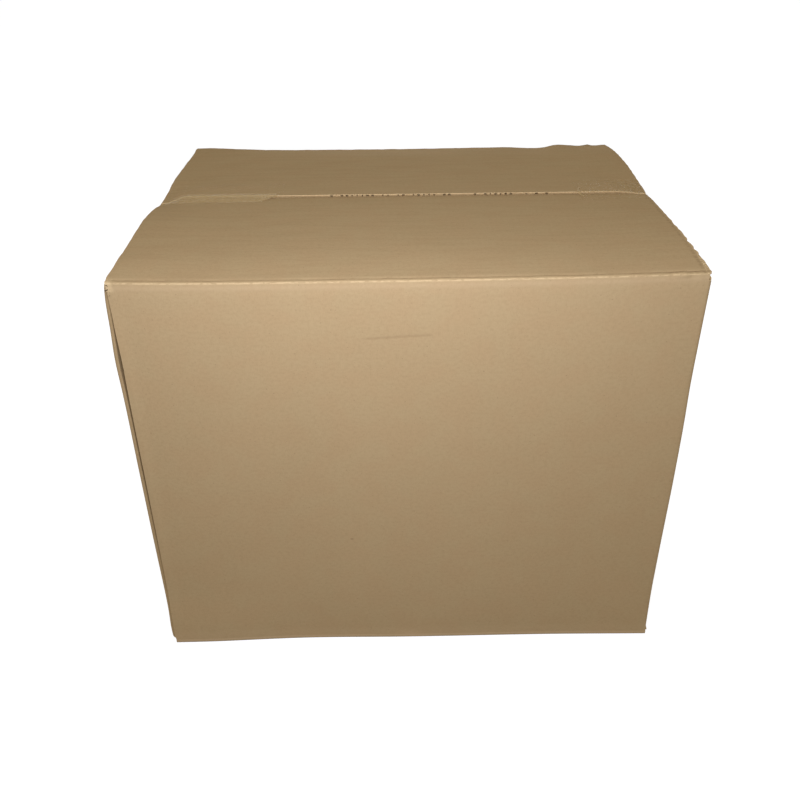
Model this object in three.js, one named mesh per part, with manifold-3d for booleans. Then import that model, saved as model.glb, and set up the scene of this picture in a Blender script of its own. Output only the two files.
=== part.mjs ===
// A moving box: a regular slotted carton of single-wall corrugated board, closed and taped shut.
// Millimetres, +Z up, the front panel faces -Y, and the origin is under the middle of the base.
// The board is one blank: four panels, a glue tab, four top flaps and four bottom flaps.
import * as THREE from 'three';
import { mergeVertices } from 'three/addons/utils/BufferGeometryUtils.js';
import Module from 'manifold-3d';

const wasm = await Module();
wasm.setup();

// The carton: sizes that a carton maker would set
const insideLength = 600;
const insideWidth = 480;
const outsideHeight = 500;
const board = 3;
const foldRadius = 4; // outside of every fold
const flapSideCut = 4; // from a panel's outer face to its flap's side edge
const slotDepth = 1; // how far the slots between flaps run past the inner flaps' folds
const layerGap = 0.5; // between the outer and the inner flaps
const seamGap = 2; // between the two outer flaps where they meet
const glueTabWidth = 35;
const glueTabTaper = 12; // how much shorter each end of the tab is at its free edge
const glueTabInset = 6; // from the panels' cut ends to the tab's root

// The top flaps are sprung: they leave their folds upwards and come down again at the seam
const seamRise = 4.5;
const frontCrown = { left: 4, right: 7 };
const backCrown = { left: 1.5, right: 5 };

// The tape: clear film, drawn thicker than it is so that it stays a sound solid
const film = 0.3;
const tapeGap = 0.3; // between the film and the board
const tapeWidth = 72;
const tapeTurnRadius = 5; // where the film turns over an edge of the box
const topTapeTurnDown = 70;
const bottomTapeTurnUp = 60;
const leftTape = { freeEnd: -148, centreY: 11 };
const rightTape = { freeEnd: 210, centreY: 19 };
const bottomTapeCentreY = 0;

// Steps along the curved stretches
const foldSteps = 4;
const flapSteps = 14;
const flapWidthSteps = 6;
const tapeWidthSteps = 12;

// Worked out from the sizes above
const outsideLength = insideLength + 2 * board;
const outsideWidth = insideWidth + 2 * board;
const right = outsideLength / 2;
const back = outsideWidth / 2;
const base = film + tapeGap; // the board's underside, held off the ground by the bottom tape
const top = base + outsideHeight; // the level of the front and back folds
const flapReach = (outsideWidth - seamGap) / 2; // all eight flaps are cut to one length
const innerFlapLevel = board + layerGap; // how far the inner flaps lie below the outer ones
const panelCut = innerFlapLevel + foldRadius + slotDepth; // from the outer folds to the slots' ends
const wallHeight = outsideHeight - 2 * panelCut;

const boardMaterial = new THREE.MeshStandardMaterial({ color: 0xb3946a, roughness: 0.9, metalness: 0 });
const filmMaterial = new THREE.MeshStandardMaterial({ color: 0xc9b28a, roughness: 0.2, metalness: 0 });

function solidFrom(geometry) {
  const bare = geometry.clone();
  bare.deleteAttribute('normal');
  bare.deleteAttribute('uv');
  const merged = mergeVertices(bare, 1e-4);
  return new wasm.Manifold(
    new wasm.Mesh({
      numProp: 3,
      vertProperties: new Float32Array(merged.getAttribute('position').array),
      triVerts: new Uint32Array(merged.index.array),
    }),
  );
}

function geometryFrom(solid) {
  const mesh = solid.getMesh();
  const geometry = new THREE.BufferGeometry();
  geometry.setAttribute('position', new THREE.BufferAttribute(mesh.vertProperties, 3));
  geometry.setIndex(new THREE.BufferAttribute(mesh.triVerts, 1));
  geometry.computeVertexNormals();
  return geometry;
}

// How far an outer top flap stands above its fold's level, where reach is measured from its panel
function springOf(crown, x, reach) {
  const share = THREE.MathUtils.clamp(reach / flapReach, 0, 1);
  const crownHere = THREE.MathUtils.mapLinear(x, -right, right, crown.left, crown.right);
  return crownHere * Math.sin(Math.PI * share) + seamRise * share;
}

function topSpring(x, y) {
  return y < 0 ? springOf(frontCrown, x, back + y) : springOf(backCrown, x, back - y);
}

// The four panels in plan, folded at three corners. At the fourth, front left, the front panel's
// raw cut edge stands proud of the side panel's fold, and the tab goes in behind it.
function panelsInPlan() {
  const cutEdge = -right + board;
  const tabFold = Math.acos((board - foldRadius) / foldRadius);
  const outline = new THREE.Shape();
  outline.moveTo(cutEdge, -back);
  outline.lineTo(right - foldRadius, -back);
  outline.absarc(right - foldRadius, -back + foldRadius, foldRadius, -Math.PI / 2, 0);
  outline.lineTo(right, back - foldRadius);
  outline.absarc(right - foldRadius, back - foldRadius, foldRadius, 0, Math.PI / 2);
  outline.lineTo(-right + foldRadius, back);
  outline.absarc(-right + foldRadius, back - foldRadius, foldRadius, Math.PI / 2, Math.PI);
  outline.lineTo(-right, -back + board + foldRadius);
  outline.absarc(-right + foldRadius, -back + board + foldRadius, foldRadius, Math.PI, 2 * Math.PI - tabFold);
  outline.lineTo(cutEdge, -back);

  const innerRadius = foldRadius - board;
  const halfLength = insideLength / 2;
  const halfWidth = insideWidth / 2;
  const inside = new THREE.Path();
  inside.moveTo(-halfLength + innerRadius, -halfWidth);
  inside.lineTo(halfLength - innerRadius, -halfWidth);
  inside.absarc(halfLength - innerRadius, -halfWidth + innerRadius, innerRadius, -Math.PI / 2, 0);
  inside.lineTo(halfLength, halfWidth - innerRadius);
  inside.absarc(halfLength - innerRadius, halfWidth - innerRadius, innerRadius, 0, Math.PI / 2);
  inside.lineTo(-halfLength + innerRadius, halfWidth);
  inside.absarc(-halfLength + innerRadius, halfWidth - innerRadius, innerRadius, Math.PI / 2, Math.PI);
  inside.lineTo(-halfLength, -halfWidth + innerRadius);
  inside.absarc(-halfLength + innerRadius, -halfWidth + innerRadius, innerRadius, Math.PI, 1.5 * Math.PI);
  outline.holes.push(inside);
  return outline;
}

function panels() {
  const walls = new THREE.ExtrudeGeometry(panelsInPlan(), {
    depth: wallHeight,
    bevelEnabled: false,
    curveSegments: foldSteps,
  });
  return walls.translate(0, 0, base + panelCut);
}

// The tab that carries on from the left side panel and is glued behind the front panel
function glueTab() {
  const root = glueTabInset;
  const free = glueTabInset + glueTabTaper;
  const outline = new THREE.Shape();
  outline.moveTo(0, root);
  outline.lineTo(glueTabWidth, free);
  outline.lineTo(glueTabWidth, wallHeight - free);
  outline.lineTo(0, wallHeight - root);
  const tab = new THREE.ExtrudeGeometry(outline, { depth: board, bevelEnabled: false });
  tab.rotateX(Math.PI / 2);
  return tab.translate(-insideLength / 2, -insideWidth / 2 + board, base + panelCut);
}

// A flap with its fold: a strip of board that carries on up from its panel, turns over the fold
// and lies level with its outer face at z = 0. Its panel's outer face is the plane y = 0.
function foldedFlap({ width, levelBelow, spring }) {
  const lead = panelCut - levelBelow - foldRadius;
  const steps = 1 + foldSteps + flapSteps;
  const strip = new THREE.BoxGeometry(width, board, steps, flapWidthSteps, 1, steps);
  const points = strip.getAttribute('position');
  for (let i = 0; i < points.count; i += 1) {
    const x = points.getX(i);
    const depth = points.getY(i) + board / 2;
    const station = points.getZ(i) + steps / 2;
    const turn = THREE.MathUtils.clamp((station - 1) / foldSteps, 0, 1) * (Math.PI / 2);
    const run = THREE.MathUtils.clamp((station - 1 - foldSteps) / flapSteps, 0, 1);
    const up = THREE.MathUtils.clamp(1 - station, 0, 1);
    const radius = foldRadius - depth;
    const y = foldRadius - radius * Math.cos(turn) + run * (flapReach - foldRadius);
    const z = radius * Math.sin(turn) - foldRadius - up * lead;
    points.setXYZ(i, x, y, z + (turn > 0 ? spring(x, y) : 0));
  }
  return strip.translate(0, 0, -levelBelow);
}

const flat = () => 0;

// The flaps of one pair of panels, at the top and at the bottom. facing turns a flap that belongs
// to the front panel round to its own panel.
function flapsOf({ facing, distance, width, levelBelow, spring }) {
  const upper = foldedFlap({ width, levelBelow, spring });
  upper.translate(0, -distance, top).rotateZ(facing);
  const lower = foldedFlap({ width, levelBelow, spring: flat });
  lower.rotateX(Math.PI).rotateZ(Math.PI).translate(0, -distance, base).rotateZ(facing);
  return [upper, lower];
}

function carton() {
  const outer = { distance: back, width: outsideLength - 2 * flapSideCut, levelBelow: 0 };
  const inner = { distance: right, width: outsideWidth - 2 * flapSideCut, levelBelow: innerFlapLevel };
  const frontSpring = (x, reach) => springOf(frontCrown, x, reach);
  const backSpring = (x, reach) => springOf(backCrown, -x, reach);
  const pieces = [
    panels(),
    glueTab(),
    ...flapsOf({ ...outer, facing: 0, spring: frontSpring }),
    ...flapsOf({ ...outer, facing: Math.PI, spring: backSpring }),
    ...flapsOf({ ...inner, facing: Math.PI / 2, spring: flat }),
    ...flapsOf({ ...inner, facing: -Math.PI / 2, spring: flat }),
  ];
  const solid = pieces.map(solidFrom).reduce((joined, piece) => joined.add(piece));
  return geometryFrom(solid);
}

// A strip of film seen along Y: it lies level at z = 0, turns at x = edge and hangs down to
// z = -turnDown. The strip runs from x = freeEnd, and its face on the board is the lower one.
function filmInPlan(freeEnd, edge, turnDown) {
  const outline = new THREE.Shape();
  const centre = edge - tapeTurnRadius;
  const outerRadius = tapeTurnRadius + film;
  outline.moveTo(freeEnd, 0);
  outline.lineTo(centre, 0);
  outline.absarc(centre, -tapeTurnRadius, tapeTurnRadius, Math.PI / 2, 0, true);
  outline.lineTo(edge, -turnDown);
  outline.lineTo(edge + film, -turnDown);
  outline.lineTo(edge + film, -tapeTurnRadius);
  outline.absarc(centre, -tapeTurnRadius, outerRadius, 0, Math.PI / 2, false);
  outline.lineTo(freeEnd, film);
  return outline;
}

// A tape over one end of the top seam. It follows the sprung flaps, and the part that hangs down
// the side panel keeps its lower end level.
function topTape(side, { freeEnd, centreY }) {
  const strip = new THREE.ExtrudeGeometry(filmInPlan(side * freeEnd, right + tapeGap, topTapeTurnDown), {
    depth: tapeWidth,
    steps: tapeWidthSteps,
    bevelEnabled: false,
    curveSegments: foldSteps,
  });
  strip.rotateX(Math.PI / 2).translate(0, tapeWidth / 2, 0);
  if (side < 0) strip.rotateZ(Math.PI);
  strip.translate(0, centreY, 0);
  const points = strip.getAttribute('position');
  for (let i = 0; i < points.count; i += 1) {
    const z = points.getZ(i);
    const held = THREE.MathUtils.clamp((z + topTapeTurnDown) / (topTapeTurnDown - tapeTurnRadius), 0, 1);
    points.setZ(i, z + held * topSpring(points.getX(i), points.getY(i)));
  }
  return strip.translate(0, 0, top + tapeGap);
}

// The tape along the whole bottom seam, turned up over both side panels
function bottomTape() {
  const half = filmInPlan(0, right + tapeGap, bottomTapeTurnUp);
  const strip = new THREE.ExtrudeGeometry(half, {
    depth: tapeWidth,
    bevelEnabled: false,
    curveSegments: foldSteps,
  });
  strip.rotateX(Math.PI / 2).translate(0, tapeWidth / 2, 0);
  const rightHalf = strip.clone().rotateX(Math.PI);
  const leftHalf = rightHalf.clone().rotateZ(Math.PI);
  const whole = solidFrom(rightHalf).add(solidFrom(leftHalf));
  return geometryFrom(whole).translate(0, bottomTapeCentreY, base - tapeGap);
}

function named(name, geometry, material) {
  const mesh = new THREE.Mesh(geometry, material);
  mesh.name = name;
  return mesh;
}

const box = new THREE.Group();
box.add(
  named('carton', carton(), boardMaterial),
  named('tape_top_left', topTape(-1, leftTape), filmMaterial),
  named('tape_top_right', topTape(1, rightTape), filmMaterial),
  named('tape_bottom', bottomTape(), filmMaterial),
);

export default box;
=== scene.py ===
import math
from types import SimpleNamespace

import bmesh
import bpy
import numpy as np
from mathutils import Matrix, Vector


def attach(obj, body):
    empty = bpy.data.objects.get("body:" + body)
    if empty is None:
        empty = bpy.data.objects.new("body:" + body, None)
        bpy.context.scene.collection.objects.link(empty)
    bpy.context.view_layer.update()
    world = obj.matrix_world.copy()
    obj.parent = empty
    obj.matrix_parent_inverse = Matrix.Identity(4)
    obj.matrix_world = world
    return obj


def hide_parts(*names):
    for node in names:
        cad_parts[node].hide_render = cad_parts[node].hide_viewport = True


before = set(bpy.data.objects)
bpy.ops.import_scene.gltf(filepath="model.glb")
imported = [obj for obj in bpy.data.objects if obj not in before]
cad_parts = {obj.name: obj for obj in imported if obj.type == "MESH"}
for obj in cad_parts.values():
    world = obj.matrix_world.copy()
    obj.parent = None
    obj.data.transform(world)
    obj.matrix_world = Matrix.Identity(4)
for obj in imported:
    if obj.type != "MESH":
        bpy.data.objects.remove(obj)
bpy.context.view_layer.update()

mm = 0.001
grainDepth = 0.4 * mm  # of the bump in every material
facingShare = 0.7  # a point belongs to the front or back when this much of its outward direction does

# The box as it is cut and folded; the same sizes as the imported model's
carton = {
    "length": 606.0,  # outside, along x
    "width": 486.0,  # outside, along y
    "height": 500.0,
    "board": 3.0,
    "groundGap": 0.6,  # the tape below holds the board this far off the floor
    "foldRadius": 3.2,
    "cutEdgeX": -300.0,  # the front panel's raw edge, over the glue tab
    "glueTab": 34.8,
    "tabTaper": 18.0,
    "tabInset": 6.0,  # of its ends, from the slots
    "flapReach": 242.6,
    "innerFlapDrop": 3.5,
    "slotEnd": 8.5,  # how far the slots between flaps run below the outer folds
    "flutes": 95,  # along the front and the back
    "wornRight": 12,  # flutes at the front's ends where the fold is crumpled and the mesh finer
    "wornLeft": 5,
    "sideSteps": 36,
    "panelStep": 9.0,  # mesh spacing up the panels
    "flapStep": 7.0,
    "bottomStep": 22.0,
    "sharpFrom": 40,  # degrees
}

# The sheet's make-up, seen at the raw ends of the outer flaps
sheetLayers = {
    "liner": 0.5,
    "medium": 0.7,
    "pocket": 11.0,  # how deep an open flute shows
    "crushed": 0.25,  # and a crushed one
    # share of the flutes that are open, along the seam
    "open": [(-303, 0.02), (-150, 0.06), (-110, 0.2), (-60, 0.6), (0, 0.75), (60, 0.8), (100, 0.75),
             (160, 0.5), (210, 0.15), (303, 0.02)],
    "combRow": 13.0,
    "samples": 8,  # for each mesh column, and below the box
    "samplesBelow": 2,
    "ragged": 0.55,
    "clear": 0.04,  # between the wave and the liners
    "leastWave": 0.82,  # share of its full height
    "openHalf": (0.07, 0.12),  # half of an open flute's width, in flutes: the least, and how much more
}


# Smooth curve through (place, value) pairs
def curveThrough(points, at):
    places, values = np.array(points, float).T
    slopes = np.gradient(values, places)
    at = np.clip(at, places[0], places[-1])
    k = np.clip(np.searchsorted(places, at) - 1, 0, len(places) - 2)
    gap = places[k + 1] - places[k]
    t = (at - places[k]) / gap
    rise = t * t * (3 - 2 * t)
    return (
        values[k] * (1 - rise)
        + values[k + 1] * rise
        + gap * slopes[k] * t * (1 - t) ** 2
        - gap * slopes[k + 1] * t * t * (1 - t)
    )


def smoothStep(low, high, at):
    t = np.clip((at - low) / (high - low), 0, 1)
    return t * t * (3 - 2 * t)


# 1 at a place, dying away over this width on both sides
def hump(at, place, width):
    return np.exp(-(((at - place) / width) ** 2))


# A seeded wavering line, about -1 to 1, with ripples from the longest wave down
def waver(at, longest, seed, waves=5):
    rng = np.random.default_rng(seed)
    total = np.zeros_like(np.asarray(at, float))
    for k in range(waves):
        length = longest / 1.7**k
        total += np.sin(2 * math.pi * (at / length + rng.random())) / 1.35**k
    return total / 2


halfLength = carton["length"] / 2
halfWidth = carton["width"] / 2
radius = carton["foldRadius"]
foldArc = radius * math.pi / 2
foldTop = carton["height"] - radius
top = carton["groundGap"] + carton["height"]


# The blank's outer face seen from above: straight parts and the turns between them
def planParts():
    insideY = -halfWidth + carton["board"]
    parts = []
    start = 0.0
    place = np.array([-halfLength + radius + carton["glueTab"], insideY])
    heading = math.pi
    runs = [
        ("tab", carton["glueTab"]),
        ("left", halfWidth - insideY - 2 * radius),
        ("back", carton["length"] - 2 * radius),
        ("right", carton["width"] - 2 * radius),
        ("front", halfLength - radius - carton["cutEdgeX"]),
    ]
    for name, run in runs:
        ahead = np.array([math.cos(heading), math.sin(heading)])
        parts.append({"name": name, "start": start, "run": run, "from": place, "heading": heading})
        place = place + ahead * run
        start += run
        if name != "front":
            inward = np.array([ahead[1], -ahead[0]])
            centre = place + inward * radius
            turn = {"name": "turn", "start": start, "run": foldArc, "from": centre, "heading": heading}
            parts.append(turn)
            heading -= math.pi / 2
            place = centre + radius * np.array([-math.sin(heading), math.cos(heading)])
            start += foldArc
    return parts


plan = planParts()
panelSpan = {part["name"]: part for part in plan if part["name"] != "turn"}


# Place and outward direction of the outer face at each distance around the blank
def walkPlan(around):
    x, y, outX, outY = (np.zeros_like(around) for _ in range(4))
    for part in plan:
        here = (around >= part["start"] - 1e-9) & (around <= part["start"] + part["run"] + 1e-9)
        along = np.clip(around[here] - part["start"], 0, part["run"])
        turned = along / part["run"] * math.pi / 2 if part["name"] == "turn" else 0 * along
        heading = part["heading"] - turned
        outX[here] = -np.sin(heading)
        outY[here] = np.cos(heading)
        if part["name"] == "turn":
            x[here] = part["from"][0] + radius * outX[here]
            y[here] = part["from"][1] + radius * outY[here]
        else:
            x[here] = part["from"][0] + along * np.cos(heading)
            y[here] = part["from"][1] + along * np.sin(heading)
    return x, y, outX, outY


# How the closed flaps lie: level above the front fold, from the front to the seam and from the
# seam to the back, at the left end, in the middle and at the right end
flapLevels = {
    "frontLeft": [(-243, 0.0), (-215, 3.0), (-155, 4.6), (-86, 7.2), (-30, 2.6), (-5, -2.0), (0, -2.4)],
    "frontMiddle": [(-243, 0.0), (-200, 2.0), (-120, 3.6), (-40, 4.0), (0, 3.6)],
    "frontRight": [(-243, 0.5), (-200, 4.8), (-155, 6.4), (-115, 6.2), (-50, 4.2), (0, 2.6)],
    "backLeft": [(0, -1.6), (15, -1.4), (40, -0.6), (60, 2.6), (110, 3.4), (180, 2.2), (243, 0.0)],
    "backMiddle": [(0, 6.4), (50, 5.4), (120, 3.8), (190, 2.0), (243, 0.0)],
    "backRight": [(0, 3.2), (20, 3.2), (60, 5.2), (107, 7.4), (180, 5.6), (243, 0.4)],
    "frontFold": [(-303, -0.9), (-270, -1.6), (-205, -2.0), (-106, -1.6), (0, -1.2), (93, -0.9),
                  (184, -0.4), (303, 0.4)],
    "backFold": [(-303, 1.3), (-282, 1.9), (-256, 0.7), (-200, -1.7), (-100, -2.7), (0, -3.0), (154, -2.2),
                 (213, -2.4), (222, -0.4), (259, -1.3), (303, -1.0)],
    "leftEnd": -298,
    "rightEnd": 301,
    "leftSpan": 34,  # how far in from each end its own shape reaches, at the seam
    "rightSpan": 40,
    "spanGrowth": 60,  # and how much further it reaches outside the strip along the seam
    "seamStrip": (20, 90),
    "foldSpan": 70,  # how far the folds' shape reaches up the flaps
    "panelFrom": 430,  # height from which the front and back panels go along with their flaps
    "sideFrom": (400, 490),  # and where the side panels are pressed down with them
}


# Level of the outer flaps' upper faces at x, y
def flapLevel(x, y, side):
    across = np.abs(y)
    fromSeam = flapLevels["spanGrowth"] * smoothStep(*flapLevels["seamStrip"], across)
    leftEnd = flapLevels["leftEnd"]
    rightEnd = flapLevels["rightEnd"]
    left = 1 - smoothStep(leftEnd, leftEnd + flapLevels["leftSpan"] + fromSeam, x)
    right = smoothStep(rightEnd - flapLevels["rightSpan"] - fromSeam, rightEnd, x)
    middle = 1 - left - right
    level = left * curveThrough(flapLevels[side + "Left"], y)
    level += middle * curveThrough(flapLevels[side + "Middle"], y)
    level += right * curveThrough(flapLevels[side + "Right"], y)
    fromFold = halfWidth - across
    fold = curveThrough(flapLevels[side + "Fold"], x)
    return level + fold * (1 - smoothStep(0, flapLevels["foldSpan"], fromFold))


# Where the box has been pushed about: (height, shift) up each front corner, (x, shift) along the bottom
dents = {
    "frontBow": 3.2,  # outward, in the middle of the front panel
    "sideBow": 2.0,
    "frontReach": 90.0,  # how far back from the front face, and up from the floor, the pushes are felt
    "sideReach": 60.0,
    "cornerReach": (45.0, 70.0),  # along the front and along the sides
    "leftCorner": [(0, 0.4), (10, -0.6), (22, -1.2), (50, -1.2), (74, -1.8), (120, -2.4), (260, -3.2),
                   (370, -3.6), (409, -4.4), (446, -2.8), (480, -1.6), (500, 0.6)],
    "rightCorner": [(0, 2.4), (30, 2.0), (135, 2.0), (250, 2.8), (323, 2.4), (370, 1.4), (420, 1.6),
                    (480, 2.2), (500, 2.4)],
    "bottomEdge": [(-303, 7.0), (-245, 5.0), (-200, 2.5), (-150, 0.0), (0, -0.5), (200, 0.0), (303, 3.0)],
    "leftFoot": 1.5,  # the front panel's bottom corners and the flap under them, towards the right
    "rightFoot": 2.8,
    "footAt": 300.0,
    "footReach": 10.0,
    "footRise": (12, 7),
    "cutEdgeShare": -0.5,
    "cutEdgeLift": 1.5,  # of the front panel's raw edge, off the fold behind it
    "cutEdgeReach": 9.0,
    "cutEdgeEnds": ((10, 60), (490, 420)),  # heights over which the lift comes and goes
}


# Pushes the folded board from its plain place to how the used box stands. The side panel's fold
# bulges past the front panel's raw edge, which keeps a share of the push.
def settle(x, y, z, level, share=1.0):
    up = z - carton["groundGap"]
    reach = dents["frontReach"]
    alongFront = 1 - np.clip(x / halfLength, -1, 1) ** 2
    nearFront = 1 - smoothStep(0, reach, y + halfWidth)
    y = y - dents["frontBow"] * alongFront * nearFront
    nearFloor = 1 - smoothStep(0, reach, up)
    y = y - curveThrough(dents["bottomEdge"], x) * nearFront * nearFloor
    alongSide = 1 - np.clip(y / halfWidth, -1, 1) ** 2
    rise = up / carton["height"]
    panelShare = np.clip(4 * rise * (1 - rise), 0, 1)
    nearSide = 1 - smoothStep(0, dents["sideReach"], halfLength - np.abs(x))
    x = x + np.sign(x) * dents["sideBow"] * alongSide * panelShare * nearSide
    reachX, reachY = dents["cornerReach"]
    atCorner = hump(y, -halfWidth, reachY)
    x = x + share * curveThrough(dents["leftCorner"], up) * atCorner * hump(x, -halfLength, reachX)
    x = x + curveThrough(dents["rightCorner"], up) * atCorner * hump(x, halfLength, reachX)
    return x, y, z + level


# A point of the blank, folded: how far around it is, how high on the panel, and how deep in the sheet
def foldBoard(around, up, depth):
    x, y, outX, outY = walkPlan(around)
    outer = np.abs(outY) > facingShare
    drop = np.where(outer, 0.0, carton["innerFlapDrop"])
    topStart = foldTop - drop
    bottomStart = radius + drop
    past = np.maximum(up - topStart, 0) + np.maximum(bottomStart - up, 0)
    side = np.where(up > carton["height"] / 2, 1.0, -1.0)
    turn = np.clip(past / foldArc, 0, 1) * math.pi / 2
    reach = np.maximum(past - foldArc, 0)
    start = np.clip(up, bottomStart, topStart)
    outward = -radius + (radius - depth) * np.cos(turn) - reach
    z = start + side * (radius - depth) * np.sin(turn) + carton["groundGap"]

    onTop = side > 0
    relief = foldRelief(x, up - topStart, outer & onTop) * (depth < carton["board"] / 2)
    outward = outward + relief * np.cos(turn)
    z = z + side * relief * np.sin(turn)
    x = x + outX * outward
    y = y + outY * outward

    frontLevel = flapLevel(x, np.minimum(y, 0), "front")
    backLevel = flapLevel(x, np.maximum(y, 0), "back")
    level = np.where(y < 0, frontLevel, backLevel)
    share = smoothStep(flapLevels["panelFrom"], foldTop, up)
    pressed = np.minimum(level, 0) * smoothStep(*flapLevels["sideFrom"], up)
    level = np.where(outer, level * share, pressed) * onTop
    x = x + flapEdgeShift(x, y, reach, outer & onTop) * smoothStep(0, foldArc, past)
    foot = smoothStep(*dents["footRise"], up) * (outY < -facingShare)
    foot = foot * hump(np.abs(x), dents["footAt"], dents["footReach"])
    x = x + foot * np.where(x > 0, dents["rightFoot"], dents["leftFoot"])
    frontPanel = around > panelSpan["front"]["start"] - 0.01
    shareHere = np.where(frontPanel & (x < 0), dents["cutEdgeShare"], 1.0)
    lifted = hump(x, carton["cutEdgeX"], dents["cutEdgeReach"]) * frontPanel
    comes, goes = dents["cutEdgeEnds"]
    y = y - dents["cutEdgeLift"] * lifted * smoothStep(*comes, up) * smoothStep(*goes, up)
    return settle(x, y, z, level, shareHere)


# The pressed line at a top fold. Each part has its place past the fold's start, half its width, and
# how far it stands out.
crease = {
    "ridge": (2.4, 1.5, 0.2),
    "groove": (foldArc + 2.4, 1.6, -0.9),
    "strip": (0.0, 6.0, -0.5),
    "score": (-8.0, 1.8, -0.3),
    "crumple": (3.0, 4.0, 1.0),
    "rightCrumple": (1.0, 6.0, 0.6),
    "crumpledFrom": (225, 290),
    "crumpleElsewhere": 0.2,
    "below": 0.3,  # share of the ridge that the bottom folds have
}


def foldRelief(x, past, topFold):
    def pressed(name, at):
        place, width, height = crease[name]
        return height * hump(at, place, width)

    atRight = smoothStep(*crease["crumpledFrom"], x)
    elsewhere = crease["crumpleElsewhere"]
    relief = pressed("ridge", past) + pressed("score", past)
    relief += pressed("groove", past) * (0.75 + 0.35 * waver(x, 90, 8))
    relief += pressed("strip", np.minimum(past, 0)) * (past < foldArc)
    relief += pressed("crumple", past) * waver(x, 41, 7) * (elsewhere + (1 - elsewhere) * atRight)
    relief += pressed("rightCrumple", past) * waver(x + 0.7 * past, 17, 11) * atRight
    return np.where(topFold, relief, crease["below"] * pressed("ridge", past))


# The outer flaps' side edges: how far they stand off the panels' edges, and how they are worn
flapEdges = {
    "at": 300.0,
    "reach": 14.0,  # how far in from the edge the flap is drawn along
    "rise": 30.0,  # from the fold up the flap, until the edge stands off in full
    "left": 1.4,
    "right": 1.0,
    "leftRipple": (0.35, 60),  # depth and length of its longest wave
    "rightRipple": (0.3, 19),
    "rightFray": 0.35,  # how much deeper the right one's ripples get towards the front
    "frayFrom": (-60, -110),
    "leftCut": 0.6,  # the left edge drawn in near the front fold
    "leftCutFrom": (-206, -232),
    "rightEar": 1.6,  # the right edge standing out near the front fold
    "rightEarFrom": (-214, -232),
    "seamDent": (-2, 12, 1.6),  # at the right: y, width, depth
    "tears": [(-117, 4, 1.4), (-168, 3, 1.2), (-190, 3, 0.9), (-205, 4, 1.2)],  # the same
}


def flapEdgeShift(x, y, reach, topFlap):
    off = smoothStep(0, flapEdges["rise"], reach)
    nearLeft = hump(x, -flapEdges["at"], flapEdges["reach"])
    nearRight = hump(x, flapEdges["at"], flapEdges["reach"])
    depth, length = flapEdges["leftRipple"]
    left = flapEdges["left"] * off + depth * waver(y, length, 3)
    left -= flapEdges["leftCut"] * smoothStep(*flapEdges["leftCutFrom"], y)
    depth, length = flapEdges["rightRipple"]
    frayed = depth + flapEdges["rightFray"] * smoothStep(*flapEdges["frayFrom"], y)
    right = flapEdges["right"] * off + frayed * waver(y, length, 5)
    right += flapEdges["rightEar"] * smoothStep(*flapEdges["rightEarFrom"], y)
    dentAt, dentWidth, dentDepth = flapEdges["seamDent"]
    right -= dentDepth * hump(y, dentAt, dentWidth)
    right -= sum(deep * hump(y, at, wide) for at, wide, deep in flapEdges["tears"]) * off
    return np.where(topFlap, left * nearLeft + right * nearRight, 0)


def evenly(start, end, step):
    return list(np.linspace(start, end, max(1, round(abs(end - start) / step)) + 1))


# The mesh's lines around the blank, and which panel each stretch between two lines belongs to
def linesRound():
    steps = {"tab": 4, "turn": 4, "left": carton["sideSteps"], "right": carton["sideSteps"],
             "front": carton["flutes"], "back": carton["flutes"]}
    lines = [0.0]
    owners = []
    for part in plan:
        count = steps[part["name"]]
        for k in range(count):
            inMiddle = carton["wornRight"] <= k < count - carton["wornLeft"]
            halves = (0.5, 1.0) if part["name"] == "front" and not inMiddle else (1.0,)
            lines += [part["start"] + part["run"] * (k + half) / count for half in halves]
            owners += [part["name"]] * len(halves)
    return np.array(lines), owners


# The mesh's lines up the blank, close together where it folds
def linesUp():
    height = carton["height"]
    foldEnd = foldTop + foldArc
    flapEnd = foldEnd - radius + carton["flapReach"]
    combStart = flapEnd - sheetLayers["combRow"]
    slot = height - carton["slotEnd"]
    fold = [slot, slot + 1.8, slot + 3, slot + 4.2, foldTop]
    fold += [foldTop + foldArc * k / 4 for k in (1, 2, 3, 4)]
    groove = [foldEnd + past for past in (1, 2, 3, 4.4, 6.4, 9.4, 14)]
    flap = evenly(groove[-1], combStart - 6, carton["flapStep"])[1:] + [combStart - 3, combStart, flapEnd]
    below = [height - at for at in fold] + [height - flapEnd]
    below += evenly(height - foldEnd - 4.4, height - combStart, carton["bottomStep"])
    panel = evenly(slot - 20, height - slot + 8, carton["panelStep"])
    panel += [slot - under for under in (2, 4.5, 8, 13)]
    return np.array(sorted(below + panel + fold + groove + flap))


# Points down through the sheet at a raw fluted end: outer liner, wave, inner liner. Where a flute
# is open, the wave in it is crushed far back. The sign is 1 on top of the box and -1 below it.
def endProfile(endUp, sign, wave, isOpen):
    liner = sheetLayers["liner"]
    medium = sheetLayers["medium"]
    board = carton["board"]
    deep = endUp - sign * (sheetLayers["pocket"] if isOpen else sheetLayers["crushed"])
    waveUp = endUp - sign * (sheetLayers["pocket"] / 2 if isOpen else 0)
    travel = board / 2 - liner - medium / 2 - sheetLayers["clear"]
    middle = board / 2 + travel * wave
    depths = [0, liner, liner, middle - medium / 2, middle - medium / 2,
              middle + medium / 2, middle + medium / 2, board - liner, board - liner, board]
    ups = [endUp, endUp, deep, deep, waveUp, waveUp, deep, deep, endUp, endUp]
    return depths, ups


class SheetMesh:
    def __init__(self):
        self.blank = []
        self.faces = []
        self.raw = []

    def point(self, around, up, depth):
        self.blank.append((around, up, depth))
        return len(self.blank) - 1

    def face(self, corners, raw=False):
        self.faces.append(corners)
        self.raw.append(raw)


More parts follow.
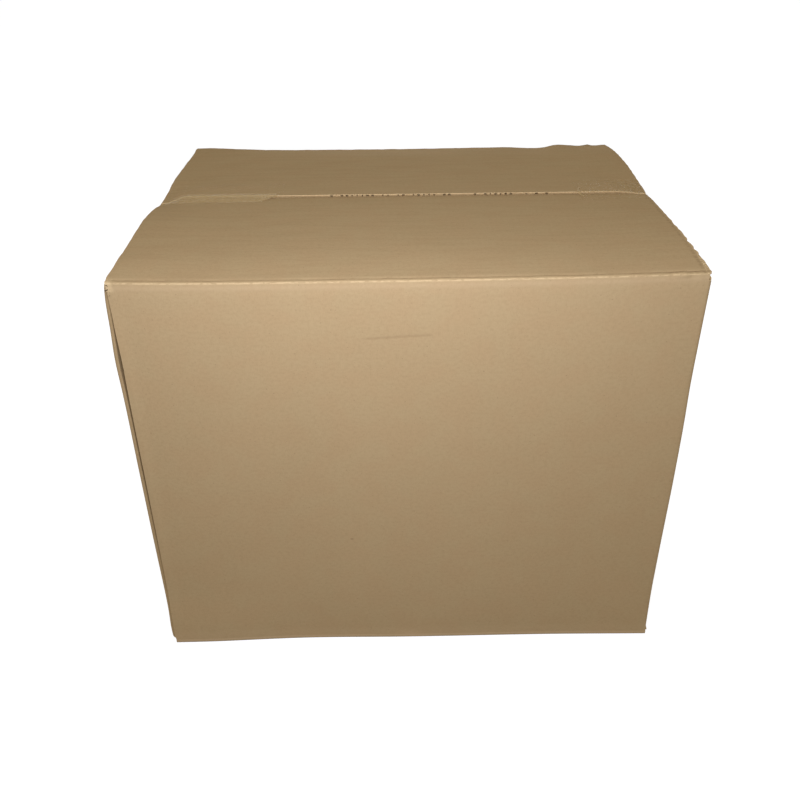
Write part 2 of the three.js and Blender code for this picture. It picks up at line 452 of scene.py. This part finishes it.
# The fluted end of one outer flap, along the seam
def addComb(sheet, ends, outerRow, innerRow, endUp, sign, seed):
    rng = np.random.default_rng(seed)
    samples = sheetLayers["samples"] if sign > 0 else sheetLayers["samplesBelow"]
    count = (len(ends) - 1) * samples + 1
    rounds = np.interp(np.arange(count) / samples, np.arange(len(ends)), ends)
    ragged = sheetLayers["ragged"] * (rng.random((count, 3)) - 0.7)
    squash = sheetLayers["leastWave"] + (1 - sheetLayers["leastWave"]) * rng.random(count)
    phase = (rounds - ends[0]) / (ends[-1] - ends[0]) * carton["flutes"]
    openShare = curveThrough(sheetLayers["open"], walkPlan(rounds)[0])
    chance = rng.random(carton["flutes"] + 1)
    leastOpen, moreOpen = sheetLayers["openHalf"]
    width = leastOpen + moreOpen * rng.random(carton["flutes"] + 1)
    rows = []
    for k in range(count):
        wave = math.cos(2 * math.pi * phase[k]) * squash[k]
        flute = int(phase[k])
        isOpen = chance[flute] < openShare[k] and abs(phase[k] - flute - 0.5) < width[flute]
        depths, ups = endProfile(endUp, sign, wave, isOpen)
        for layer, places in enumerate(((0, 1), (4, 5), (8, 9))):
            for place in places:
                ups[place] += sign * ragged[k][layer]
        rows.append([sheet.point(rounds[k], up, depth) for depth, up in zip(depths, ups)])
    last = len(rows[0]) - 1
    for i in range(len(ends) - 1):
        first = i * samples
        fine = range(first + samples, first - 1, -1)
        sheet.face([outerRow[i], outerRow[i + 1]] + [rows[k][0] for k in fine])
        sheet.face([innerRow[i], innerRow[i + 1]] + [rows[k][last] for k in fine])
    for k in range(count - 1):
        for m in range(last):
            sheet.face([rows[k][m], rows[k + 1][m], rows[k + 1][m + 1], rows[k][m + 1]], raw=True)
    sheet.face([outerRow[0]] + rows[0] + [innerRow[0]], raw=True)
    sheet.face([outerRow[-1]] + rows[-1] + [innerRow[-1]], raw=True)


# The whole blank as one closed sheet, still flat
def flatBlank():
    rounds, owners = linesRound()
    ups = linesUp()
    slotTop = carton["height"] - carton["slotEnd"]
    middles = (ups[:-1] + ups[1:]) / 2
    isPanel = (middles > carton["slotEnd"]) & (middles < slotTop)
    isOuterFlap = np.array([owner in ("front", "back") for owner in owners])
    isFlap = np.array([owner in ("front", "back", "left", "right") for owner in owners])
    present = isPanel[None, :] | isFlap[:, None]
    comb = np.zeros_like(present)
    comb[isOuterFlap, 0] = True
    comb[isOuterFlap, -1] = True

    sheet = SheetMesh()
    solid = present & ~comb
    padded = np.pad(solid, 1)
    combPadded = np.pad(comb, 1)
    used = padded[1:, 1:] | padded[:-1, 1:] | padded[1:, :-1] | padded[:-1, :-1]
    outer = np.full(used.shape, -1)
    inner = np.full(used.shape, -1)
    for i, j in zip(*np.nonzero(used)):
        outer[i, j] = sheet.point(rounds[i], ups[j], 0)
        inner[i, j] = sheet.point(rounds[i], ups[j], carton["board"])
    for i, j in zip(*np.nonzero(solid)):
        ring = [(i, j), (i + 1, j), (i + 1, j + 1), (i, j + 1)]
        sheet.face([outer[at] for at in ring])
        sheet.face([inner[at] for at in reversed(ring)])
        beside = [(i, j - 1), (i + 1, j), (i, j + 1), (i - 1, j)]
        for k, (m, n) in enumerate(beside):
            if not padded[m + 1, n + 1] and not combPadded[m + 1, n + 1]:
                a, b = ring[k], ring[(k + 1) % 4]
                sheet.face([outer[a], outer[b], inner[b], inner[a]], raw=True)
    for seed, name in enumerate(("front", "back")):
        columns = [i for i, owner in enumerate(owners) if owner == name]
        nodes = columns + [columns[-1] + 1]
        ends = rounds[nodes]
        addComb(sheet, ends, outer[nodes, -2], inner[nodes, -2], ups[-1], 1, 20 + seed)
        addComb(sheet, ends, outer[nodes, 1], inner[nodes, 1], ups[0], -1, 30 + seed)
    return sheet


# The tab's ends slope in towards its free edge
def taperTab(around, up):
    tab = panelSpan["tab"]
    towardsFree = np.clip(1 - (around - tab["start"]) / tab["run"], 0, 1)
    halfHeight = carton["height"] / 2
    cut = towardsFree * carton["tabTaper"] + carton["tabInset"] * (towardsFree > 0)
    squeeze = 1 - cut / (halfHeight - carton["slotEnd"])
    return halfHeight + (up - halfHeight) * squeeze


def faceOutward(mesh):
    work = bmesh.new()
    work.from_mesh(mesh)
    bmesh.ops.recalc_face_normals(work, faces=work.faces)
    work.to_mesh(mesh)
    work.free()


# Edges that turn by more than sharpFrom degrees stay crisp
def makePiece(name, places, faces, materials, sharpFrom):
    mesh = bpy.data.meshes.new(name)
    mesh.from_pydata([tuple(place) for place in places * mm], [], faces)
    for material in materials:
        mesh.materials.append(material)
    faceOutward(mesh)
    mesh.shade_smooth()
    mesh.set_sharp_from_angle(angle=math.radians(sharpFrom))
    piece = bpy.data.objects.new(name, mesh)
    bpy.context.scene.collection.objects.link(piece)
    return piece


# Shader maths as plain expressions
class Value:
    def __init__(self, shader, socket):
        self.shader = shader
        self.socket = socket

    def maths(self, operation, *values):
        return self.shader.add("ShaderNodeMath", {"operation": operation}, dict(enumerate(values)))

    def __add__(self, other):
        return self.maths("ADD", self, other)

    def __sub__(self, other):
        return self.maths("SUBTRACT", self, other)

    def __rsub__(self, other):
        return self.maths("SUBTRACT", other, self)

    def __mul__(self, other):
        return self.maths("MULTIPLY", self, other)

    def __truediv__(self, other):
        return self.maths("DIVIDE", self, other)

    __radd__ = __add__
    __rmul__ = __mul__

    def atMost(self, other):
        return self.maths("MINIMUM", self, other)

    def atLeast(self, other):
        return self.maths("MAXIMUM", self, other)

    def size(self):
        return self.maths("ABSOLUTE", self)

    def sine(self):
        return self.maths("SINE", self)

    # 0 below low, 1 above high, smooth between; low may be the larger
    def step(self, low, high):
        settings = {"interpolation_type": "SMOOTHSTEP"}
        return self.shader.add("ShaderNodeMapRange", settings, {0: self, 1: low, 2: high})

    # 1 at a place, falling to 0 this far from it
    def near(self, place, width):
        return (self - place).size().step(width, 0)

    def part(self, name):
        return Value(self.shader, self.socket.node.outputs[name])


# The nodes of one material or world
class Shader:
    def __init__(self, owner):
        self.owner = owner
        owner.use_nodes = True
        self.tree = owner.node_tree
        self.tree.nodes.clear()

    def add(self, kind, settings=None, inputs=None, output=0):
        node = self.tree.nodes.new(kind)
        for name, value in (settings or {}).items():
            setattr(node, name, value)
        for name, value in (inputs or {}).items():
            if isinstance(value, Value):
                self.tree.links.new(value.socket, node.inputs[name])
            else:
                node.inputs[name].default_value = value
        return Value(self, node.outputs[output] if node.outputs else None)

    # x, y and z of a vector, in millimetres
    def inMillimetres(self, vector):
        parts = self.add("ShaderNodeSeparateXYZ", {}, {0: vector})
        return [parts.part(axis) * 1000 for axis in "XYZ"]

    def noise(self, where, scale, detail, roughness):
        values = {"Vector": where, "Scale": scale, "Detail": detail, "Roughness": roughness}
        return self.add("ShaderNodeTexNoise", {}, values)

    def stretch(self, where, scale):
        return self.add("ShaderNodeMapping", {}, {"Vector": where, "Scale": scale})

    def colours(self, share, first, second):
        settings = {"data_type": "RGBA", "clamp_factor": True}
        return self.add("ShaderNodeMix", settings, {0: share, 6: first, 7: second}, output=2)

    def bump(self, height, strength):
        values = {"Strength": strength, "Distance": grainDepth, "Height": height}
        return self.add("ShaderNodeBump", {}, values)

    # 1 for rays that show something to the camera, directly or in a gloss
    def seen(self):
        camera = self.add("ShaderNodeLightPath", {}, {}, output="Is Camera Ray")
        return camera.atLeast(camera.part("Is Glossy Ray")).atLeast(camera.part("Is Transmission Ray"))

    def finish(self, surface, kind="ShaderNodeOutputMaterial"):
        self.add(kind, {}, {"Surface": surface})
        return self.owner


# Linear colour from the sRGB numbers that a colour picker shows
def paint(red, green, blue):
    def linear(value):
        share = value / 255
        return share / 12.92 if share <= 0.04045 else ((share + 0.055) / 1.055) ** 2.4

    return (linear(red), linear(green), linear(blue), 1.0)


kraft = {
    "paper": paint(185, 162, 129),
    "warm": paint(185, 160, 127),
    "deep": paint(168, 144, 111),
    "pale": paint(208, 182, 151),
    # dark flecks and marks, and also painted shade in the fold's groove and along the right flap edge
    "darkAndShade": paint(120, 96, 68),
    # pale torn paper, and also a painted highlight on the fold's ridge
    "torn": paint(238, 214, 174),
    "core": paint(160, 134, 100),
    # painted shade in the gap behind the front panel's raw edge, and also the dark pits in the corner above
    # it
    "gap": paint(62, 46, 30),
    "roughness": 0.78,
    "gloss": 0.1,
    "mottle": 0.42,
    "bump": 0.24,
    "cutRoughness": 0.92,  # and the same of the raw edges
    "cutGloss": 0.15,
    "cutBump": 0.5,
}

# Places of the marks of use on the front panel, as x and height
wear = {
    "score": (-47, 433.5),
    "scoreSlope": 0.052,
    "scoreHalf": 2.8,
    "speck": (-67, 167),
    "scuff": (2, 6),
}


# Places on the blank and in the room, and the noises that several parts of the kraft finish share
def sheetPlaces(shader):
    blank = shader.add("ShaderNodeAttribute", {"attribute_name": "blank"}, {}, output="Vector")
    place = shader.add("ShaderNodeTexCoord", {}, {}, output="Object")
    frontStart = panelSpan["front"]["start"]
    at = SimpleNamespace(blank=blank)
    at.around, at.up = shader.inMillimetres(blank)[:2]
    at.x, at.y, at.z = shader.inMillimetres(place)
    at.frontX = (halfLength - radius + frontStart) - at.around
    at.onFront = at.around.step(frontStart - 1, frontStart)
    at.mottle = shader.noise(shader.stretch(blank, (1, 1.5, 1)), 210, 3, 0.6)
    at.fibre = shader.noise(shader.stretch(blank, (1, 0.28, 1)), 900, 2, 0.6)
    at.rubbed = shader.noise(shader.stretch(blank, (1, 3, 1)), 150, 3, 0.6)
    at.speck = shader.noise(blank, 420, 1, 0.5)
    return at


# Plain paper: clouded, mottled and flecked, with streaks on the flaps
def paperTone(shader, at):
    cloud = shader.noise(at.blank, 9, 3, 0.55)
    hue = shader.noise(at.blank, 30, 2, 0.5)
    streak = shader.noise(shader.stretch(at.blank, (0.1, 1, 1)), 130, 2, 0.5)
    streak = streak.step(0.6, 0.35) * at.z.step(foldTop, foldTop + 4)
    dull = at.mottle.step(0.62, 0.3) * 0.6 + at.fibre.step(0.6, 0.3) * 0.5 + cloud.step(0.6, 0.35) * 0.15
    dull = (dull + streak * 0.4) * kraft["mottle"]
    tone = shader.colours(hue.step(0.35, 0.65), kraft["paper"], kraft["warm"])
    tone = shader.colours(dull, tone, kraft["deep"])
    return shader.colours(at.speck.step(0.71, 0.78) * 0.35, tone, kraft["darkAndShade"])


# The pressed fold: a paler band below it, a rubbed ridge with a painted highlight on it, and painted shade
# in the groove above
def markFold(shader, at, tone):
    band = at.up.near(foldTop - 3, 6)
    # the ridge: rubbed paper with a painted highlight
    ridge = at.up.near(foldTop + 2.2, 1.7) * at.rubbed.step(0.38, 0.56)
    # painted shade in the groove above the fold, deeper towards the crumpled right end
    groove = at.up.near(foldTop + foldArc + 1.7, 1.8) * (0.3 + at.rubbed.step(0.6, 0.4) * 0.7)
    tone = shader.colours(band * 0.25, tone, kraft["pale"])
    tone = shader.colours(ridge * 0.42, tone, kraft["torn"])
    return shader.colours(groove * (0.4 + at.x.step(230, 275) * 0.55), tone, kraft["darkAndShade"])


# A pressed line that runs a little uphill across the front panel
def scoreMark(at):
    middle, level = wear["score"]
    height = at.up - level - (at.frontX - middle) * wear["scoreSlope"]
    length = at.frontX.step(-56, -30) * at.frontX.step(29, 22)
    return height.near(0, wear["scoreHalf"]) * length * at.onFront


# The front panel's score, its dark speck, its pale rubbed foot with a dark rim, and a scuff there
def markFront(shader, at, score, tone):
    speckX, speckUp = wear["speck"]
    scuffX, scuffUp = wear["scuff"]
    smudge = at.frontX.near(speckX, 3) * at.up.near(speckUp, 2) * at.onFront
    foot = at.up.step(24, 12) * 0.14 + at.up.near(5, 3) * 0.5
    scuff = at.frontX.near(scuffX, 24) * at.up.near(scuffUp, 12) * at.onFront
    tone = shader.colours(score * 0.18, tone, kraft["darkAndShade"])
    tone = shader.colours(smudge * 0.5, tone, kraft["darkAndShade"])
    tone = shader.colours(foot * at.onFront, tone, kraft["pale"])
    tone = shader.colours(at.up.step(3, 1) * at.onFront * 0.4, tone, kraft["darkAndShade"])
    return shader.colours(scuff * 0.35, tone, kraft["pale"])


# Painted shade in the gap behind the front panel's raw edge, and the torn and pitted corner above it
def markGluedCorner(shader, at, tone):
    tabEnd = panelSpan["tab"]["run"]
    # painted shade in the gap beside the raw edge
    gap = at.around.step(tabEnd - 7, tabEnd - 6) * at.around.step(tabEnd - 0.8, tabEnd - 2.2)
    atCorner = at.frontX.step(-291, -296) * at.onFront + at.around.step(tabEnd + 14, tabEnd + 8)
    atTip = at.frontX.step(-296, -299) * at.onFront + at.around.step(tabEnd + 8, tabEnd + 5)
    torn = atCorner * at.up.step(487, 491) * at.up.step(508, 503) * at.speck.step(0.25, 0.5)
    pits = atTip * at.up.step(484, 487) * at.up.step(500, 497) * at.speck.step(0.56, 0.6)
    tone = shader.colours(gap * at.up.step(20, 60) * 0.6, tone, kraft["gap"])
    tone = shader.colours(torn * 0.34, tone, kraft["torn"])
    return shader.colours(pits * 0.9, tone, kraft["gap"])


# The right edge of the top flaps: painted shade along it, and frayed near the front
def markFlapEdge(shader, at, tone):
    onTop = at.z.step(foldTop + 1, foldTop + 4)
    frayed = at.x.step(298.6, 300.6) * onTop * at.y.step(-30, -90) * at.speck.step(0.5, 0.6)
    # painted shade just inside the right edge
    edgeShade = at.x.near(297, 3) * onTop * at.y.step(60, 0) * at.mottle.step(0.6, 0.4)
    tone = shader.colours(frayed * 0.7, tone, kraft["torn"])
    return shader.colours(edgeShade * 0.3, tone, kraft["darkAndShade"])


# Kraft paper, in the blank's own coordinates, so that grain and flutes run with the sheet
def kraftMaterial():
    shader = Shader(bpy.data.materials.new("kraft_liner"))
    at = sheetPlaces(shader)
    score = scoreMark(at)
    tone = paperTone(shader, at)
    tone = markFold(shader, at, tone)
    tone = markFront(shader, at, score, tone)
    tone = markGluedCorner(shader, at, tone)
    tone = markFlapEdge(shader, at, tone)

    flute = (at.around * (2 * math.pi * carton["flutes"] / panelSpan["front"]["run"])).sine()
    relief = at.mottle * 0.5 + at.fibre * 0.35 + flute * 0.12 - score * 1.5
    relief = relief + at.rubbed * at.up.near(foldTop + 2, 9) * 1.5
    surface = shader.add(
        "ShaderNodeBsdfPrincipled",
        {},
        {
            "Base Color": tone,
            "Roughness": kraft["roughness"] + at.mottle * 0.1,
            "Normal": shader.bump(relief, kraft["bump"]),
            "Specular IOR Level": kraft["gloss"],
        },
    )
    return shader.finish(surface)


# The cut through the sheet: fluffy paper ends, paler at the liners
def rawEdgeMaterial():
    shader = Shader(bpy.data.materials.new("kraft_cut_edge"))
    blank = shader.add("ShaderNodeAttribute", {"attribute_name": "blank"}, {}, output="Vector")
    depth = shader.inMillimetres(blank)[2]
    fluff = shader.noise(shader.stretch(blank, (1, 1, 2)), 700, 3, 0.7)
    liner = depth.step(1.1, 0.7)
    tone = shader.colours(liner * 0.75 + fluff.step(0.3, 0.7) * 0.35, kraft["core"], kraft["torn"])
    surface = shader.add(
        "ShaderNodeBsdfPrincipled",
        {},
        {
            "Base Color": tone,
            "Roughness": kraft["cutRoughness"],
            "Normal": shader.bump(fluff, kraft["cutBump"]),
            "Specular IOR Level": kraft["cutGloss"],
        },
    )
    return shader.finish(surface)


def buildCarton():
    sheet = flatBlank()
    around, up, depth = np.array(sheet.blank, float).T
    up = np.where(around < panelSpan["tab"]["run"] - 1e-6, taperTab(around, up), up)
    places = np.stack(foldBoard(around, up, depth), axis=1)
    materials = [kraftMaterial(), rawEdgeMaterial()]
    piece = makePiece("carton_board", places, sheet.faces, materials, carton["sharpFrom"])
    piece.data.polygons.foreach_set("material_index", np.array(sheet.raw, dtype=np.int32))
    blank = piece.data.attributes.new("blank", "FLOAT_VECTOR", "POINT")
    blank.data.foreach_set("vector", (np.stack([around, up, depth], axis=1) * mm).ravel())
    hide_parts("carton")
    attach(piece, "root")
    print("carton:", sum(len(face) - 2 for face in sheet.faces), "triangles")


tapes = {
    "left": {"free": -148.0, "front": -23.0, "back": 49.0, "skew": 3.0, "edge": -298.6},
    "right": {"free": 213.0, "front": -18.0, "back": 54.0, "skew": -6.0, "edge": 300.6},
    "colour": paint(222, 197, 150),
    "roughness": 0.48,
    "gloss": 0.3,
    "bump": 0.2,
    "film": 0.06,
    "lift": 0.18,  # clear of the board, so that the two don't flicker
    "step": 2.0,
    "bridge": (-15.0, 1.0),  # where the film leaves the front flap and meets the back one
    "toothPitch": 3.2,
    "toothDepth": 0.9,
    "shoulder": 9.0,  # how far below the flap's edge the film meets the side panel
    "turnDown": 69.0,
    "halfWidth": 36.0,  # under the box
    "turnUp": 60.0,
    "turnRadius": 5.0,
    "turnSteps": 6,
    "sharpFrom": 60,  # degrees
    "fanAt": (330.0, 14.0),  # the point past the right end that its wrinkles spread from
    "fanLeast": 25.0,
}


# Level that a tape takes over the seam: on the flaps, and straight across the step between them
def tapeLevel(x, y):
    near, far = tapes["bridge"]
    front = flapLevel(x, np.minimum(y, 0), "front")
    back = flapLevel(x, np.maximum(y, 0), "back")
    startLevel = flapLevel(x, np.full_like(y, near), "front")
    endLevel = flapLevel(x, np.full_like(y, far), "back")
    across = np.clip((y - near) / (far - near), 0, 1)
    bridge = startLevel + (endLevel - startLevel) * across
    return np.where(y < near, front, np.where(y > far, back, np.maximum(bridge, front)))


# A top tape: along the seam from its toothed free end, over the flaps' edge, on a slant to the side
# panel and down it
def buildTopTape(name, side, material):
    tape = tapes[name]
    lift = tapes["lift"]
    flatRun = abs(tape["edge"] - tape["free"])
    slantOut = halfLength + lift - abs(tape["edge"])
    slantRun = math.hypot(slantOut, tapes["shoulder"])
    total = flatRun + slantRun + tapes["turnDown"] - tapes["shoulder"]
    alongLines = evenly(0, flatRun - 1.2, tapes["step"]) + [flatRun - 0.5, flatRun + 0.3, flatRun + 1.2]
    alongLines += evenly(flatRun + 3, flatRun + slantRun - 1, 2) + evenly(flatRun + slantRun + 1, total, 6)
    acrossLines = evenly(tape["front"], tape["back"], tapes["toothPitch"] / 2)
    along, across = np.meshgrid(alongLines, acrossLines, indexing="ij")
    tooth = (np.arange(len(acrossLines)) % 2) * tapes["toothDepth"]
    along = along + tooth[None, :] * (1 - smoothStep(0, 4, along))
    slant = np.clip((along - flatRun) / slantRun, 0, 1)
    down = np.maximum(along - flatRun - slantRun, 0)
    x = tape["free"] + side * np.minimum(along, flatRun)
    y = across + tape["skew"] * (1 - along / total)
    level = tapeLevel(x, y) * (1 - 0.6 * smoothStep(0, 30, down)) + tapeWrinkles(name, x, y) * (1 - slant)
    layers = []
    for above in (lift + tapes["film"], lift):
        outX = x + side * (slant * slantOut + (above - lift) * smoothStep(0.2, 1, slant))
        z = top + level - slant * tapes["shoulder"] - down + above * (1 - slant)
        layers.append(np.stack(bulgeOnly(outX, y, z), axis=-1))
    piece = makeFilm("tape_over_" + name + "_end", layers, material)
    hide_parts("tape_top_" + name)
    print(name, "tape laid")


# The side panels' bulge, for what lies on them
def bulgeOnly(x, y, z):
    hang = smoothStep(0, 12, np.abs(x) - halfLength + 6)
    settledX = settle(x, y, z, 0)[0]
    return x + (settledX - x) * hang, y, z


# A closed film between an outer and an inner grid of places
def makeFilm(name, layers, material):
    rows, columns = layers[0].shape[:2]
    below = rows * columns
    places = np.concatenate([layer.reshape(-1, 3) for layer in layers])

    def at(i, j, layer):
        return layer * below + i * columns + j

    faces = []
    for i in range(rows - 1):
        for j in range(columns - 1):
            faces.append([at(i, j, 0), at(i + 1, j, 0), at(i + 1, j + 1, 0), at(i, j + 1, 0)])
            faces.append([at(i, j, 1), at(i, j + 1, 1), at(i + 1, j + 1, 1), at(i + 1, j, 1)])
    rim = [(i, 0) for i in range(rows)] + [(rows - 1, j) for j in range(1, columns)]
    rim += [(i, columns - 1) for i in range(rows - 2, -1, -1)] + [(0, j) for j in range(columns - 2, 0, -1)]
    for (i, j), (m, n) in zip(rim, rim[1:] + rim[:1]):
        faces.append([at(i, j, 0), at(i, j, 1), at(m, n, 1), at(m, n, 0)])
    piece = makePiece(name, places, faces, [material], tapes["sharpFrom"])
    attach(piece, "root")
    return piece


def tapeWrinkles(name, x, y):
    if name == "left":
        return 0.12 * waver(y * 3 + 0.2 * x, 70, 51) * smoothStep(-190, -290, x)
    fanX, fanY = tapes["fanAt"]
    fan = (y - fanY) / np.maximum(fanX - x, tapes["fanLeast"]) * 90
    folds = np.maximum(np.sin(fan * 0.42 + 1.1), 0) ** 3 + 0.7 * np.maximum(np.sin(fan * 0.71 + 4), 0) ** 3
    return folds * 0.7 * smoothStep(236, 285, x) * smoothStep(4, 16, y)


# Clear film: hardly seen where it sticks, milky where it spans the step at the seam
def filmMaterial():
    shader = Shader(bpy.data.materials.new("clear_tape"))
    place = shader.add("ShaderNodeTexCoord", {}, {}, output="Object")
    x, y, z = shader.inMillimetres(place)
    leftFree = tapes["left"]["free"]
    rightFree = tapes["right"]["free"]
    fanX, fanY = tapes["fanAt"]
    patches = shader.noise(place, 60, 3, 0.6)
    streaks = shader.noise(shader.stretch(place, (1, 12, 1)), 45, 3, 0.6)
    onTop = z.step(top - 12, top - 6)

    # the milky patch of the left tape, between two uneven borders, with bubbles in it
    lower = (x + 176).atLeast(0) * 0.75 - 17 + (streaks - 0.5) * 5
    upper = 9 - (x + 262).size().step(8, 34) * (x + 262).step(8, -34) * 5
    leftSpan = (y - lower).step(-0.7, 1.4) * (upper - y).step(-0.7, 2.5)
    leftSpan = leftSpan * x.step(-300, -270) * x.step(leftFree, leftFree - 12)
    bubbles = shader.noise(shader.stretch(place, (1, 1.6, 1)), 260, 1, 0.5).step(0.64, 0.7)
    bubbles = bubbles * y.near(-3, 4) * x.step(-240, -232) * x.step(-190, -200)
    seam = y.near(1.5, 2.5)
    rightSpan = seam * x.step(rightFree - 3, rightFree + 9) * 0.4
    span = (leftSpan * (0.4 + streaks * 0.25 + seam * 0.4) * (1 - bubbles) + rightSpan) * onTop
    # the right tape: its curled end, a fleck, and creases that fan out
    arc = ((x - 216) + (y - 2) * (y - 2) * -0.02).near(0, 1.4) * y.step(-16, -10) * y.step(20, 14)
    fleck = x.near(238, 3) * y.near(54, 1.5)
    creases = ((y - fanY) / (fanX - x).atLeast(tapes["fanLeast"]) * 81).sine().step(0.7, 1)
    creases = creases * x.step(240, 275) * y.step(4, 14) * streaks.step(0.3, 0.6)
    marks = (arc * 0.45 + fleck * 0.6 + creases * 0.4) * x.step(rightFree - 13, rightFree - 3) * onTop
    milky = 0.02 + patches.step(0.5, 0.8) * 0.015 + span * 0.6 + marks
    surface = shader.add(
        "ShaderNodeBsdfPrincipled",
        {},
        {
            "Base Color": tapes["colour"],
            "Roughness": tapes["roughness"],
            "Alpha": milky.atMost(1.0),
            "Normal": shader.bump(streaks + patches, tapes["bump"]),
            "Specular IOR Level": tapes["gloss"],
        },
    )
    return shader.finish(surface)


# The line that the bottom tape follows, from one side panel's face to the other's
def underPath():
    gap = tapes["lift"]
    bend = tapes["turnRadius"]
    edge = halfLength + gap
    level = carton["groundGap"] - gap
    right = [(edge, level + gap + tapes["turnUp"]), (edge, level + bend)]
    for k in range(1, tapes["turnSteps"] + 1):
        angle = math.pi / 2 * k / tapes["turnSteps"]
        right.append((edge - bend * (1 - math.cos(angle)), level + bend * (1 - math.sin(angle))))
    left = [(-x, z) for x, z in right]
    middle = [(x, level) for x in evenly(-edge + bend, edge - bend, 12)[1:-1]]
    return left + middle + right[::-1]


# The tape along the bottom seam, turned up over both side panels
def buildBottomTape(material):
    halfTape = tapes["halfWidth"]
    path = np.array(underPath())
    heading = np.gradient(path, axis=0)
    heading /= np.linalg.norm(heading, axis=1)[:, None]
    outward = np.stack([heading[:, 1], -heading[:, 0]], axis=1)
    acrossLines = np.array(evenly(-halfTape, halfTape, 4))
    layers = []
    for thick in (tapes["film"], 0.0):
        line = path + outward * thick
        wobble = 0.6 * waver(line[:, 0], 240, 61)
        grid = np.stack(
            [
                np.repeat(line[:, :1], len(acrossLines), axis=1),
                acrossLines[None, :] + wobble[:, None],
                np.repeat(line[:, 1:], len(acrossLines), axis=1),
            ],
            axis=-1,
        )
        layers.append(grid)
    piece = makeFilm("tape_under_box", layers, material)
    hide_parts("tape_bottom")


studio = {
    "lamp": (-0.035, -0.69, 0.765),
    "lampColour": (0.985, 0.995, 1.05),
    "lampSize": 0.16,
    "lampPower": 13.1,
    "fill": 0.36,
    "fillColour": (1.0, 0.89, 0.61, 1.0),
    "soft": [  # where, power, size
        ((0.0, 1.4, 0.9), 2.0, 1.0),
        ((0.0, 1.9, 0.25), 11.0, 0.7),
        ((-1.9, 0.45, 0.25), 10.0, 0.7),
        ((1.9, 0.45, 0.25), 8.0, 0.7),
    ],
    "softColour": (1.0, 0.88, 0.76),
    "floorWhite": 0.9,
    "floorPaint": (0.3, 0.335, 0.48, 1.0),
    "floorGrey": (0.5, 0.5, 0.5, 1.0),  # the floor as the lamps' light sees it
    "floorSize": 30.0,
    "aim": (0, 0.1, 0.3),
}


def buildFloor():
    shader = Shader(bpy.data.materials.new("pale_floor"))
    paper = shader.add("ShaderNodeBsdfDiffuse", {}, {"Color": studio["floorPaint"]})
    glow = shader.add("ShaderNodeEmission", {}, {"Color": (1, 1, 1, 1), "Strength": studio["floorWhite"]})
    shown = shader.add("ShaderNodeAddShader", {}, {0: paper, 1: glow})
    real = shader.add("ShaderNodeBsdfDiffuse", {}, {"Color": studio["floorGrey"]})
    surface = shader.add("ShaderNodeMixShader", {}, {0: shader.seen(), 1: real, 2: shown})
    material = shader.finish(surface)
    half = studio["floorSize"] / 2
    mesh = bpy.data.meshes.new("studio_floor")
    corners = [(-half, -half, 0), (half, -half, 0), (half, half, 0), (-half, half, 0)]
    mesh.from_pydata(corners, [], [(0, 1, 2, 3)])
    mesh.materials.append(material)
    floor = bpy.data.objects.new("studio_floor", mesh)
    bpy.context.scene.collection.objects.link(floor)


def buildWorld():
    shader = Shader(bpy.data.worlds.new("studio_world"))
    white = shader.add("ShaderNodeBackground", {}, {"Color": (1, 1, 1, 1)})
    values = {"Color": studio["fillColour"], "Strength": studio["fill"]}
    fill = shader.add("ShaderNodeBackground", {}, values)
    sky = shader.add("ShaderNodeMixShader", {}, {0: shader.seen(), 1: fill, 2: white})
    bpy.context.scene.world = shader.finish(sky, "ShaderNodeOutputWorld")


def buildLamps():
    lamp = bpy.data.lights.new("studio_lamp", "POINT")
    lamp.energy = studio["lampPower"]
    lamp.color = studio["lampColour"]
    lamp.shadow_soft_size = studio["lampSize"]
    holder = bpy.data.objects.new("studio_lamp", lamp)
    holder.location = studio["lamp"]
    holder.visible_camera = False
    bpy.context.scene.collection.objects.link(holder)
    for k, (place, power, size) in enumerate(studio["soft"]):
        soft = bpy.data.lights.new("soft_lamp_" + str(k + 1), "AREA")
        soft.shape = "DISK"
        soft.size = size
        soft.energy = power
        soft.color = studio["softColour"]
        stand = bpy.data.objects.new(soft.name, soft)
        stand.location = place
        aim = Vector(studio["aim"]) - Vector(place)
        stand.rotation_euler = aim.to_track_quat("-Z", "Y").to_euler()
        stand.visible_camera = False
        bpy.context.scene.collection.objects.link(stand)


photoView = {
    "sensor": 36,
    "lens": 38.718,
    "place": (-0.0109, -1.0353, 0.8415),
    "turn": (58.634, 0.57, -0.56),  # degrees
}


def buildCamera():
    lens = bpy.data.cameras.new("photo_camera")
    lens.sensor_width = photoView["sensor"]
    lens.lens = photoView["lens"]
    camera = bpy.data.objects.new("photo_camera", lens)
    camera.location = photoView["place"]
    camera.rotation_euler = [math.radians(angle) for angle in photoView["turn"]]
    bpy.context.scene.collection.objects.link(camera)
    bpy.context.scene.camera = camera


buildCamera()
print("camera set")
buildCarton()
film = filmMaterial()
buildTopTape("left", -1, film)
buildTopTape("right", 1, film)
buildBottomTape(film)
print("tapes laid")
buildFloor()
buildWorld()
buildLamps()
bpy.context.scene.view_settings.view_transform = "Standard"
print("studio lit")
